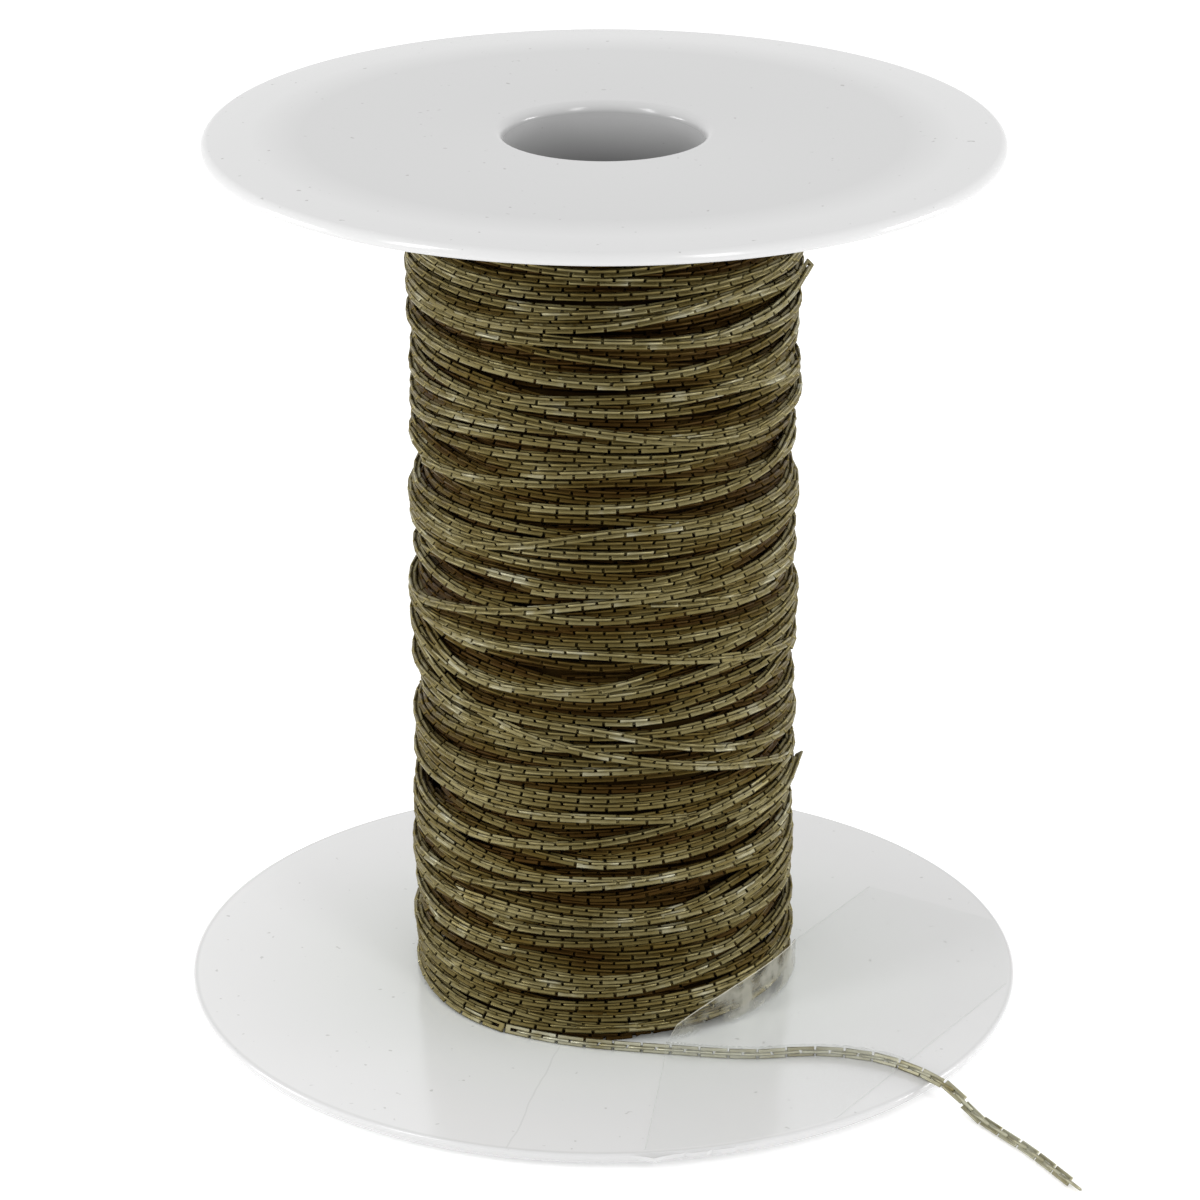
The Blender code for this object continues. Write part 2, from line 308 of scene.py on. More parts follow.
def finish_plastic(tree, colour, dirt_share, dull=0.0):
    out = tree.nodes.new("NodeGroupOutput")
    dirt = dirt_of(tree)
    dirty = mix(tree, mathematics(tree, "MULTIPLY", dirt, dirt_share), colour, DIRT)
    rough = mathematics(tree, "MULTIPLY_ADD", noise(tree, 60.0), 0.12, 0.10)
    tree.links.new(dirty, out.inputs["Color"])
    tree.links.new(mathematics(tree, "MAXIMUM", rough, dull), out.inputs["Roughness"])
    tree.links.new(noise(tree, 240.0, 3.0), out.inputs["Height"])


def radius_of(tree, xyz):
    squares = [mathematics(tree, "MULTIPLY", xyz.outputs[k], xyz.outputs[k]) for k in (0, 1)]
    return mathematics(tree, "SQRT", mathematics(tree, "ADD", *squares))


def share_past(tree, value, start, length):
    """How far a value is past start, as a share of length."""
    return mathematics(tree, "DIVIDE", mathematics(tree, "SUBTRACT", value, start), length)


def upper_plastic_group():
    tree = new_group("upper plastic", "Color", "Roughness", "Height")
    xyz = add(tree, "SeparateXYZ")
    tree.links.new(add(tree, "TexCoord").outputs["Object"], xyz.inputs[0])
    blend_start = UPPER_RADIUS - RIM_RING_WIDTH - RING_BLEND / 2
    outwards = share_past(tree, radius_of(tree, xyz), blend_start, RING_BLEND)
    # Painted light: the outer ring is lighter than the disc, for the light that comes through the thinner
    # plastic there.
    disc = ramp(tree, outwards, (0.0, 0.483), (1.0, 0.562))
    below = mathematics(tree, "MULTIPLY_ADD", xyz.outputs[2], -1 / BORE_SHADE_DEPTH,
                        SPOOL_HEIGHT / BORE_SHADE_DEPTH)
    inside = mathematics(tree, "LESS_THAN", radius_of(tree, xyz), BORE_RADIUS + MOUTH_RADIUS)
    down_the_bore = mathematics(tree, "MULTIPLY", below, inside)
    # Painted shade: the bore darkens to near black with depth below the top face.
    painted_bore_shade = ramp(tree, down_the_bore, (0.10, 0.0), (0.45, 0.85), (1.0, 1.0))
    dull = ramp(tree, down_the_bore, (0.0, 0.0), (0.16, 0.6))
    finish_plastic(tree, mix(tree, painted_bore_shade, disc, BORE_SHADE_COLOUR), 0.55, dull)
    return tree


MARK_START, MARK_END = Vector((-3.7, -16.3)) * MM, Vector((-7.8, -34.7)) * MM
MARK_WIDTH, MARK_WAVER, RIM_SHADE_WIDTH = 0.07 * MM, 1.2 * MM, 0.5 * MM


def lower_plastic_group():
    tree = new_group("lower plastic", "Color", "Roughness", "Height")
    xyz = add(tree, "SeparateXYZ")
    tree.links.new(add(tree, "TexCoord").outputs["Object"], xyz.inputs[0])
    # Painted shade: the lower flange's face darkens from left to right.
    across = mathematics(tree, "MULTIPLY_ADD", xyz.outputs[0], 0.5 / LOWER_RADIUS, 0.5)
    base = ramp(tree, across, (0.0, 0.70), (0.45, 0.683), (1.0, 0.63))
    near = share_past(tree, radius_of(tree, xyz), WINDING_RADIUS, TINT_REACH)
    tinted = mix(tree, ramp(tree, near, (0.0, 0.55), (1.0, 0.0)), base, (0.71, 0.742, 0.71))
    side = (MARK_END - MARK_START).normalized()
    offset = mathematics(tree, "ADD", mathematics(tree, "MULTIPLY", xyz.outputs[0], -side.y),
                         mathematics(tree, "MULTIPLY", xyz.outputs[1], side.x))
    offset = mathematics(tree, "SUBTRACT", offset, MARK_START.y * side.x - MARK_START.x * side.y)
    bend = mathematics(tree, "MULTIPLY", mathematics(tree, "SUBTRACT", noise(tree, 150.0), 0.5), MARK_WAVER)
    offset = mathematics(tree, "ABSOLUTE", mathematics(tree, "ADD", offset, bend))
    line = mathematics(tree, "LESS_THAN", offset, MARK_WIDTH)
    line = mathematics(tree, "MULTIPLY", line, mathematics(tree, "LESS_THAN", xyz.outputs[1], MARK_START.y))
    marked = mix(tree, mathematics(tree, "MULTIPLY", line, 0.22), tinted, (0.40, 0.41, 0.40))
    # Painted shade: the outermost half millimetre darkens, so the lit rim wall looks as dark as the face.
    rim = share_past(tree, radius_of(tree, xyz), LOWER_RADIUS - RIM_SHADE_WIDTH, RIM_SHADE_WIDTH)
    finish_plastic(tree, mix(tree, ramp(tree, rim, (0.0, 0.0), (0.8, 1.0)), marked, RIM_SHADE_COLOUR), 0.35)
    return tree


PLASTIC_BUMP = (0.10, 0.02 * MM)
upper_plastic = material("upper plastic", upper_plastic_group(), bump=PLASTIC_BUMP)
lower_plastic = material("lower plastic", lower_plastic_group(), bump=PLASTIC_BUMP)

# %% [markdown]
# ** The chain.** Antiqued brass is brass that was darkened and then rubbed bright where it stands out.
# Each link carries a tone, from 0 deep in the winding to 1 on top. The dark end is painted shade in the
# deep gaps together with the patina there. The tone runs from almost black brown through olive to a
# greyish brass, and slow patches of stronger patina lie over that.

# %% Brass
def brass_group():
    tree = new_group("aged brass", "Color", "Roughness", "Metallic")
    out = tree.nodes.new("NodeGroupOutput")
    tone = add(tree, "Attribute", attribute_name="tone").outputs["Fac"]
    patch = mathematics(tree, "MULTIPLY_ADD", noise(tree, 330.0, 3.0), 0.5, -0.25)
    shade_and_patina = mathematics(tree, "ADD", tone, patch)
    # The dark stops are painted shade deep in the winding, together with its patina.
    colour = ramp(tree, shade_and_patina, (0.0, (0.050, 0.025, 0.003)), (0.35, (0.090, 0.062, 0.014)),
                  (0.65, (0.140, 0.113, 0.042)), (0.85, (0.215, 0.186, 0.090)), (1.0, (0.42, 0.41, 0.31)))
    tree.links.new(colour, out.inputs["Color"])
    tree.links.new(mathematics(tree, "MULTIPLY_ADD", tone, -0.12, 0.60), out.inputs["Roughness"])
    tree.links.new(mathematics(tree, "MULTIPLY_ADD", tone, 0.06, 0.92), out.inputs["Metallic"])
    return tree


brass = material("antique brass", brass_group())


def buried_group():
    tree = new_group("buried brass", "Color", "Roughness")
    out = tree.nodes.new("NodeGroupOutput")
    # Near-black brown: painted shade of the turns deep in the winding, with their patina.
    colour = ramp(tree, noise(tree, 500.0, 3.0), (0.3, (0.030, 0.015, 0.003)), (0.8, (0.06, 0.036, 0.010)))
    tree.links.new(colour, out.inputs["Color"])
    tree.links.new(mathematics(tree, "MULTIPLY_ADD", noise(tree, 80.0), 0.1, 0.6), out.inputs["Roughness"])
    return tree


buried_brass = material("buried brass", buried_group(), metallic=1.0)

# %% [markdown]
# **The tape.** Clear film is almost invisible where it lies flat. It shows where light scatters: along
# its cut edges, and where it stands off the chain and has picked up dust and glue haze. Two attributes
# on the mesh say where those places are.

# %% Film
def film_group():
    tree = new_group("clear film", "Color", "Roughness", "Alpha")
    out = tree.nodes.new("NodeGroupOutput")
    haze = add(tree, "Attribute", attribute_name="haze").outputs["Fac"]
    edge = add(tree, "Attribute", attribute_name="edge").outputs["Fac"]
    cloud = ramp(tree, noise(tree, 420.0, 3.0), (0.38, 0.08), (0.62, 1.0))
    hazy = mathematics(tree, "MULTIPLY_ADD", mathematics(tree, "MULTIPLY", haze, cloud), 0.62, 0.06)
    lit_edge = mathematics(tree, "MULTIPLY", edge, haze)
    alpha = mathematics(tree, "MAXIMUM", hazy, mathematics(tree, "MULTIPLY", edge, 0.30))
    alpha = mathematics(tree, "MAXIMUM", alpha, mathematics(tree, "MULTIPLY", lit_edge, 0.60))
    dusty = mix(tree, haze, (0.62, 0.65, 0.62), (0.36, 0.355, 0.30))
    tree.links.new(mix(tree, lit_edge, dusty, (0.66, 0.64, 0.54)), out.inputs["Color"])
    tree.links.new(mathematics(tree, "MULTIPLY_ADD", haze, 0.2, 0.22), out.inputs["Roughness"])
    tree.links.new(alpha, out.inputs["Alpha"])
    return tree


film = material("clear film", film_group())

# %% Make the flanges
def make_flanges():
    up = [(r, SPOOL_HEIGHT + z) for r, z in flange_outline(UPPER_RADIUS, UPPER_RING_DROP)]
    underside = flange_outline(LOWER_RADIUS, FLANGE_THICKNESS - RIM_THICKNESS)
    down = [(r, -z) for r, z in reversed(underside)]
    upper = turned_mesh("upper_moulding", up, FLANGE_STEPS)
    upper = new_object("upper_moulding", upper, upper_plastic)
    lower = turned_mesh("lower_moulding", down, 2 * FLANGE_STEPS, flash)
    lower = new_object("lower_moulding", lower, lower_plastic)
    for made, node in ((upper, "upper_flange"), (lower, "lower_flange")):
        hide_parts(node)
    print("flange faces:", len(upper.data.polygons), len(lower.data.polygons))


make_flanges()


def dress(node, finish):
    """Gives a CAD node that stays a procedural finish."""
    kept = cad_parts[node]
    kept.data.materials.clear()
    kept.data.materials.append(finish)


dress("barrel", upper_plastic)
dress("start_tape", film)
dress("inner_winding", buried_brass)

# %% [markdown]
# ## The chain's own geometry
# The chain is a row of small slotted plates, each turned a quarter about the one before, with the end of
# each in the slot of the next. Seen corner on, the plates make two rows of bars staggered like bricks.
# Seen flat on, the slots between plates show as pairs of nicks on both edges. One link is a plate with a
# slot and a rounded outer edge, which catches a soft highlight as the rolled edge of the real one does.

# %% Link template
LINK_LENGTH, LINK_WIDTH, LINK_PITCH = 2.19 * MM, 0.80 * MM, 1.175 * MM
PLATE, EDGE_BEVEL = 0.24 * MM, 0.09 * MM
SLOT_LENGTH, SLOT_WIDTH = 1.20 * MM, 0.27 * MM
QUARTER = math.pi / 2


def link_template():
    """Corners and faces of one link, along X, its plate in the XY plane."""
    half_l, half_w, half_t = LINK_LENGTH / 2, LINK_WIDTH / 2, PLATE / 2
    loops = [
        (half_l, half_w, 0.0),
        (half_l - EDGE_BEVEL, half_w - EDGE_BEVEL, half_t),
        (SLOT_LENGTH / 2, SLOT_WIDTH / 2, half_t),
        (SLOT_LENGTH / 2, SLOT_WIDTH / 2, -half_t),
        (half_l - EDGE_BEVEL, half_w - EDGE_BEVEL, -half_t),
    ]
    corners = [(-1, -1), (1, -1), (1, 1), (-1, 1)]
    points = [(sx * x, sy * y, z) for x, y, z in loops for sx, sy in corners]
    faces = []
    for ring in range(5):
        here, there = 4 * ring, 4 * ((ring + 1) % 5)
        faces += [(here + k, here + (k + 1) % 4, there + (k + 1) % 4, there + k) for k in range(4)]
    return np.array(points), np.array(faces)


LINK_POINTS, LINK_FACES = link_template()
OUTER_FACES = np.isin(np.arange(len(LINK_FACES)) // 4, (0, 4))
print("one link:", len(LINK_POINTS), "points,", len(LINK_FACES), "faces")

# %% [markdown]
# A strand is that link copied along a line. Each copy needs three directions: along the strand, across
# the plate and through it. The plates alternate by a quarter turn, and the whole strand also twists
# slowly, because a chain that is pulled off one reel and onto another never lies quite flat.

# %% Placing links
def resample(points, spacing):
    along = np.concatenate([[0.0], np.cumsum(np.linalg.norm(np.diff(points, axis=0), axis=1))])
    stops = np.arange(spacing / 2, along[-1], spacing)
    return np.column_stack([np.interp(stops, along, points[:, k]) for k in range(3)]), stops


def link_corners(points, facing, twist):
    """Every link's corners. facing is what the plate of a link with no twist looks towards."""
    along = np.gradient(points, axis=0)
    along /= np.linalg.norm(along, axis=1, keepdims=True)
    across = np.cross(facing, along)
    across /= np.linalg.norm(across, axis=1, keepdims=True)
    through = np.cross(along, across)
    turn = (twist + np.arange(len(points)) % 2 * QUARTER)[:, None]
    cos, sin = np.cos(turn), np.sin(turn)
    turned = np.stack([along, across * cos + through * sin, through * cos - across * sin], axis=1)
    return points[:, None, :] + np.einsum("vk,nkc->nvc", LINK_POINTS, turned)


def link_object(name, corners, tone):
    """One object from many links. Each face stores its link's tone."""
    count = len(corners)
    faces = (LINK_FACES[None] + len(LINK_POINTS) * np.arange(count)[:, None, None]).reshape(-1, 4)
    mesh = bpy.data.meshes.new(name)
    mesh.from_pydata(corners.reshape(-1, 3).tolist(), [], faces.tolist())
    mesh.polygons.foreach_set("use_smooth", np.tile(OUTER_FACES, count))
    stored = mesh.attributes.new("tone", "FLOAT", "FACE")
    stored.data.foreach_set("value", np.repeat(tone, len(LINK_FACES)).astype(np.float32))
    made = new_object(name, mesh, brass)
    return made


# %% [markdown]
# ## The tail
# The free end leaves the lowest turns at the front, lies along the lower flange, drops over its rim and
# ends on the ground. It is limp, so it lies in slow waves. Its points are the same as the solid tail's.

# %% Tail route
CHAIN_WIDTH = LINK_WIDTH
CHAIN_RADIUS = CHAIN_WIDTH / 2
TAIL_LIFT, GROUND_LIFT, RIM_DROP = 0.2 * MM, 0.05 * MM, 5.0 * MM
TAIL_ON_WINDING = [(-118, 0.0000), (-108.5, 0.0001), (-99, 0.0004)]
TAIL_ACROSS = [
    (0.0000, 0.0015), (0.0029, 0.0020), (0.0061, 0.0025), (0.0094, 0.0030), (0.0126, 0.00315),
    (0.0158, 0.00275), (0.0190, 0.0029), (0.0222, 0.00395), (0.0247, 0.00575), (0.0264, 0.0075),
    (0.0274, 0.0084), (0.0283, 0.00925), (0.0292, 0.01035), (0.03005, 0.0116), (0.0309, 0.0129),
    (0.03175, 0.0142), (0.0326, 0.0154), (0.0334, 0.0167), (0.0342, 0.0181), (0.0350, 0.0196),
    (0.0358, 0.0211), (0.0365, 0.0223),
]


def smooth_curve(points, spacing):
    """A smooth curve through the points (Catmull-Rom), read off at about the given spacing."""
    points = np.array(points)
    padded = np.vstack([2 * points[0] - points[1], points, 2 * points[-1] - points[-2]])
    fine = []
    for before, start, end, after in zip(padded, padded[1:], padded[2:], padded[3:]):
        for t in np.linspace(0, 1, 16, endpoint=False):
            fine.append(0.5 * (2 * start + (end - before) * t
                               + (2 * before - 5 * start + 4 * end - after) * t**2
                               + (3 * start - before - 3 * end + after) * t**3))
    fine = np.array(fine + [points[-1]])
    along = np.concatenate([[0.0], np.cumsum(np.linalg.norm(np.diff(fine, axis=0), axis=1))])
    stops = np.linspace(0, along[-1], max(2, round(along[-1] / spacing)) + 1)
    return np.column_stack([np.interp(stops, along, fine[:, axis]) for axis in range(fine.shape[1])])


def tail_height(x, y):
    on_flange, on_ground = LOWER_FACE + TAIL_LIFT + CHAIN_RADIUS, GROUND_LIFT + CHAIN_RADIUS
    share = min(1.0, max(0.0, (math.hypot(x, y) - LOWER_RADIUS - CHAIN_RADIUS) / RIM_DROP))
    return on_flange + (on_ground - on_flange) * share * share * (3 - 2 * share)


def tail_route(spacing):
    start = WINDING_RADIUS + FACE_GAP + CHAIN_RADIUS
    plan = [((start + further) * math.cos(math.radians(a)), (start + further) * math.sin(math.radians(a)))
            for a, further in TAIL_ON_WINDING]
    plan += [(x, -(WINDING_RADIUS + out)) for x, out in TAIL_ACROSS]
    return np.array([(x, y, tail_height(x, y)) for x, y in smooth_curve(plan, spacing)])


TAIL_PATH = tail_route(0.4 * MM)

# %% [markdown]
# The tape holds the tail with its plates standing nearly upright, leaning back a little, so that the
# front shows them flat on. The strand sits a little below its route, because the solid model keeps it
# off the plastic and the real chain lies on it.

# %% Tail links
TAIL_SINK = 0.17 * MM
LEAN_BACK = math.radians(24)
TAIL_SEED = 3


def make_tail():
    points, stops = resample(TAIL_PATH, LINK_PITCH)
    points[:, 2] -= TAIL_SINK * (points[:, 2] > LOWER_FACE)
    facing = np.tile([0.0, -math.cos(LEAN_BACK), math.sin(LEAN_BACK)], (len(points), 1))
    wander = 0.15 * np.sin(stops / (9.0 * MM)) + 0.08 * np.sin(stops / (4.1 * MM) + 1.0)
    rng = np.random.default_rng(TAIL_SEED)
    tone = 0.90 + 0.12 * rng.random(len(points))
    return link_object("chain_tail_links", link_corners(points, facing, wander), tone)


tail = make_tail()
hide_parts("chain_tail")
print("tail links:", len(tail.data.polygons) // len(LINK_FACES))

# %% [markdown]
# ## Winding the spool
# The chain goes on by hand, in bundles of a few turns, and every bundle crosses the last. That can't be
# drawn as a neat helix. Here the spool is really wound. A map holds how high the surface is at each angle
# and height. Each turn lies on what is there, is pulled straight by its tension, and raises the map.

# %% The surface map and one turn on it
ANGLES, START_ANGLE = 240, QUARTER
CELL, STRAND_HALF = 0.1 * MM, 0.33 * MM
LOWEST, HIGHEST = LOWER_FACE + STRAND_HALF, UPPER_FACE - STRAND_HALF
CELLS = int(round((UPPER_FACE - LOWER_FACE) / CELL)) + 1
REACH = int(STRAND_HALF / CELL) + 1
SINK, PULLS, PULL_HALF = 0.10 * MM, 6, 8
THETA = START_ANGLE + np.arange(ANGLES) / ANGLES * 2 * math.pi
ROWS = np.arange(ANGLES)


def cell_of(height, shift=0):
    return np.clip(np.round((height - LOWER_FACE) / CELL).astype(int) + shift, 0, CELLS - 1)


def ridge_of(height, shift):
    """The map's cells at one shift beside a turn, and how high the round strand stands there."""
    at = cell_of(height, shift)
    beside = np.abs(LOWER_FACE + at * CELL - height)
    return at, beside < STRAND_HALF, np.sqrt(np.clip(STRAND_HALF**2 - beside**2, 0, None))


def lay_turn(surface, height):
    """The radius at which a turn comes to rest, for its height at each angle."""
    rest = np.zeros(len(height))
    for shift in range(-REACH, REACH + 1):
        at, touches, ridge = ridge_of(height, shift)
        rest = np.maximum(rest, np.where(touches, surface[ROWS, at] + ridge, 0))
    return rest


def raise_surface(surface, height, radius):
    for shift in range(-REACH, REACH + 1):
        at, touches, ridge = ridge_of(height, shift)
        surface[ROWS, at] = np.maximum(surface[ROWS, at], np.where(touches, radius + ridge, 0))


def smoothed(values, half):
    """Values round the spool, averaged over a window that closes on itself."""
    kernel = np.hanning(2 * half + 3)[1:-1]
    wrapped = np.concatenate([values[-half:], values, values[:half]])
    return np.convolve(wrapped, kernel / kernel.sum(), mode="valid")


def pull_tight(radius):
    """A turn under tension runs straight from one high place to the next."""
    eased = radius
    for _ in range(PULLS):
        eased = np.maximum(smoothed(eased, PULL_HALF), radius - SINK)
    return eased


# %% [markdown]
# The inner turns are random bundles. Of several random choices, each bundle takes the one that lies in the
# deepest hollow, which is what keeps a hand-wound spool straight-sided.

# %% The inner turns
FRONT_ANGLES = np.radians([190, 230, 270, 310, 350])
INNER_TURNS, CANDIDATES, WINDING_SEED = 130, 64, 11
TILT, BEND, WANDER = 1.2 * MM, 0.35 * MM, 0.14 * MM
LOAD_REACH, TURN_EASE = 12, 15


def random_front(rng):
    """Heights at the five front angles: a place, a tilt about it and small bends."""
    place, toward = rng.uniform(LOWEST, HIGHEST), rng.uniform(0, 2 * math.pi)
    tilt = TILT * rng.normal() * np.sin(FRONT_ANGLES + toward)
    return place + tilt + BEND * rng.normal(size=5)


def coming_load(outer):
    """How much the outer turns will raise the surface at each height, a column for each front angle."""
    load, share = np.zeros((5, CELLS)), 4 * STRAND_HALF**2 / ((2 * LOAD_REACH + 1) * CELL)
    for row in outer:
        for column, at in enumerate(cell_of(row)):
            load[column, max(0, at - LOAD_REACH) : at + LOAD_REACH + 1] += share
    return load


def hollow_front(surface, load, rng):
    """Of some random choices, the one that lies lowest once the outer turns are counted in."""
    best, least = None, math.inf
    rows = ((FRONT_ANGLES - START_ANGLE) / (2 * math.pi) * ANGLES).astype(int)
    for _ in range(CANDIDATES):
        front = random_front(rng)
        level = np.mean([surface[rows, cell_of(front, shift)] for shift in range(-6, 7, 2)])
        level += load[np.arange(5), cell_of(front)].mean()
        if level < least:
            best, least = front, level
    return best


def turn_heights(front, before, after, rng):
    """One turn's height at each angle. It starts and ends at the back, half way to its neighbours."""
    enter, leave = (before[-1] + front[0]) / 2, (front[-1] + after[0]) / 2
    angles = [START_ANGLE, math.radians(140), *FRONT_ANGLES, math.radians(400), START_ANGLE + 2 * math.pi]
    sway = BEND * rng.normal(size=2)
    heights = [enter, (enter + front[0]) / 2 + sway[0], *front, (front[-1] + leave) / 2 + sway[1], leave]
    line = np.interp(THETA, angles, heights)
    kernel = np.hanning(2 * TURN_EASE + 1)
    kernel = kernel / kernel.sum()
    padded = np.concatenate([np.full(TURN_EASE, enter), line, np.full(TURN_EASE, leave)])
    return np.clip(np.convolve(padded, kernel, mode="valid"), LOWEST, HIGHEST)


# %% [markdown]
# The outer turns are what anyone sees, so they are set one by one. A row is one turn's height in
# millimetres at the five front angles, from left to right. They go down the spool, and the last one runs
# into the tail. A row that ends in OVER crosses on top of its neighbours.

# %% The outer turns
OVER = 1
OUTER_TURNS = [
    (70.6, 70.4, 70.2, 70.4, 70.8), (69.9, 69.3, 69.0, 69.2, 69.8), (69.2, 68.6, 68.2, 68.3, 68.9),
    (68.4, 67.2, 66.7, 67.4, 66.4), (66.6, 65.7, 66.3, 65.4, 65.6), (66.0, 65.3, 65.5, 64.9, 64.3),
    (65.2, 64.7, 64.9, 65.3, 64.9), (63.4, 62.7, 63.8, 64.5, 64.6), (63.0, 62.0, 62.6, 64.3, 65.3, OVER),
    (62.2, 62.3, 63.0, 63.8, 63.2), (62.6, 60.9, 59.8, 57.9, 56.9), (60.2, 60.8, 61.3, 60.6, 60.0),
    (62.0, 61.8, 61.4, 61.1, 62.0), (61.5, 61.2, 61.4, 60.6, 60.2), (59.9, 59.3, 58.7, 57.8, 57.6),
    (59.5, 58.9, 58.3, 58.6, 59.4), (59.3, 58.6, 57.9, 57.2, 58.2), (58.5, 56.6, 56.2, 56.9, 57.0),
    (57.6, 57.1, 55.6, 56.5, 56.4), (55.8, 56.2, 56.6, 56.6, 55.1), (56.2, 55.8, 55.6, 55.0, 55.1),
    (54.5, 55.1, 54.0, 52.2, 53.0, OVER), (54.0, 54.8, 54.7, 53.7, 52.4), (53.2, 54.4, 53.6, 53.8, 54.5),
    (52.6, 53.9, 53.9, 53.2, 52.8), (51.9, 52.4, 53.4, 52.9, 52.2), (51.6, 52.9, 52.7, 52.4, 53.0),
    (51.0, 50.3, 51.2, 51.6, 51.0), (50.6, 51.2, 51.9, 51.3, 50.6), (50.0, 49.5, 50.8, 50.6, 49.8),
    (50.0, 49.2, 48.6, 47.9, 48.4), (49.6, 48.6, 47.9, 48.3, 49.0), (49.4, 47.9, 46.9, 45.8, 44.8),
    (48.2, 48.9, 49.7, 48.9, 48.6), (47.5, 47.0, 47.6, 47.9, 49.9, OVER), (46.8, 46.6, 47.3, 47.2, 46.4),
    (46.2, 46.1, 46.8, 45.3, 44.2), (44.0, 43.3, 45.8, 46.0, 45.6, OVER), (45.2, 45.6, 45.2, 45.2, 44.8),
    (44.6, 44.4, 44.7, 44.1, 44.0), (44.2, 43.8, 43.9, 43.3, 43.0), (42.5, 42.6, 42.0, 40.9, 40.2),
    (43.2, 43.0, 42.6, 42.4, 43.6), (42.0, 41.6, 41.2, 41.9, 42.2), (41.0, 41.4, 40.8, 41.2, 41.6),
    (40.6, 40.2, 40.8, 40.4, 40.0), (35.8, 37.9, 40.0, 40.6, 40.8, OVER), (39.8, 39.4, 39.1, 40.0, 39.4),
    (37.2, 37.4, 38.9, 39.5, 38.8), (38.8, 39.2, 39.9, 39.1, 36.6), (39.4, 38.6, 38.2, 38.6, 37.6),
    (36.3, 37.4, 37.5, 37.0, 36.6), (36.0, 36.6, 37.0, 36.6, 36.2), (35.4, 36.2, 36.4, 36.2, 35.4),
    (35.5, 35.8, 35.4, 35.4, 35.0), (34.4, 35.4, 35.8, 34.8, 34.2), (36.2, 34.7, 34.0, 35.4, 36.0),
    (36.2, 33.4, 32.4, 33.4, 34.4), (34.6, 31.8, 32.5, 35.0, 35.9, OVER),
    (35.2, 35.4, 35.6, 33.9, 31.8, OVER),
    (33.4, 32.6, 32.3, 33.0, 33.4), (33.0, 32.2, 31.8, 33.5, 33.9), (33.4, 31.2, 30.8, 31.6, 32.4),
    (33.0, 29.1, 26.9, 24.5, 21.5, OVER), (30.2, 28.6, 29.4, 31.1, 29.3), (31.0, 30.0, 29.6, 29.7, 31.0),
    (29.9, 29.5, 29.0, 25.9, 24.4, OVER), (28.9, 28.6, 28.8, 27.2, 26.4), (29.4, 28.2, 28.4, 28.4, 27.8),
    (27.4, 28.0, 27.2, 26.4, 25.6), (26.0, 26.8, 27.6, 27.0, 26.2), (25.2, 25.8, 26.0, 25.6, 25.4),
    (24.0, 24.4, 25.4, 25.2, 25.0), (24.6, 23.9, 24.5, 24.7, 24.2), (23.5, 22.8, 22.8, 22.8, 23.3),
    (22.6, 22.1, 22.2, 22.2, 22.4), (21.8, 21.6, 21.0, 21.4, 20.8), (21.4, 20.8, 21.5, 20.3, 20.0),
    (18.8, 18.0, 19.0, 21.2, 21.9, OVER), (19.6, 19.7, 18.6, 19.6, 20.4), (18.5, 18.5, 18.1, 18.7, 19.8),
    (18.0, 17.5, 17.6, 18.2, 18.8), (17.4, 18.0, 17.1, 17.6, 18.2), (17.5, 16.2, 15.3, 16.0, 16.6),
    (16.2, 15.6, 15.8, 15.7, 15.5), (13.4, 14.1, 15.6, 16.3, 15.8, OVER), (15.5, 14.9, 14.6, 14.8, 15.2),
    (14.4, 14.6, 13.9, 14.9, 14.4), (13.4, 13.5, 13.0, 12.4, 12.8), (12.8, 12.2, 12.1, 13.4, 14.7),
    (11.3, 12.8, 12.2, 12.6, 13.6), (12.4, 11.9, 10.5, 11.7, 14.0), (12.0, 10.9, 11.2, 11.2, 12.2),
    (10.5, 9.8, 9.4, 9.6, 11.5), (9.7, 9.5, 10.0, 10.4, 10.8), (9.4, 9.2, 8.6, 8.6, 7.5),
    (8.7, 8.8, 7.8, 8.2, 9.4), (7.7, 8.1, 7.3, 6.6, 6.9), (7.0, 7.5, 6.8, 7.4, 8.2),
    (6.4, 6.5, 6.3, 6.0, 5.8), (5.5, 6.0, 5.8, 7.0, 8.4), (6.2, 5.0, 4.0, 4.4, 5.6),
    (5.0, 4.4, 4.7, 5.0, 5.2), (4.4, 3.7, 3.7, 3.9, 4.4), (3.8, 4.0, 2.9, 2.7, 2.9, OVER),
    (3.0, 2.8, 2.8, 3.2, 3.4), (2.3, 2.03, 2.03, 2.03, 2.03),
]

# %% [markdown]
# The lowest turns are slack at the front, where the tail pulls them outwards. The last turn is cut where
# the tail starts, so the two join.

# %% Wind it
BASE_RADIUS = WINDING_RADIUS - 2.3 * MM
SLACK, SLACK_ANGLE, SLACK_TOP, SLACK_DEPTH = 1.1 * MM, math.radians(250), 4.3 * MM, 2.2 * MM
PROUD_RADIUS, GIVE = WINDING_RADIUS - 0.15 * MM, 0.4
JOIN = np.linspace(0, 1, 14)


def slack_radius(height):
    """How far out the slack turns stand near the lower flange."""
    facing = np.clip(np.cos(THETA - SLACK_ANGLE), 0, 1) ** 3
    return WINDING_RADIUS - 0.3 * MM + SLACK * facing * np.clip((SLACK_TOP - height) / SLACK_DEPTH, 0, 1)


def squeezed(radius):
    """A turn that would stand proud presses into the ones below it."""
    proud = np.clip(radius - PROUD_RADIUS, 0, None)
    return radius - (1 - GIVE) * proud


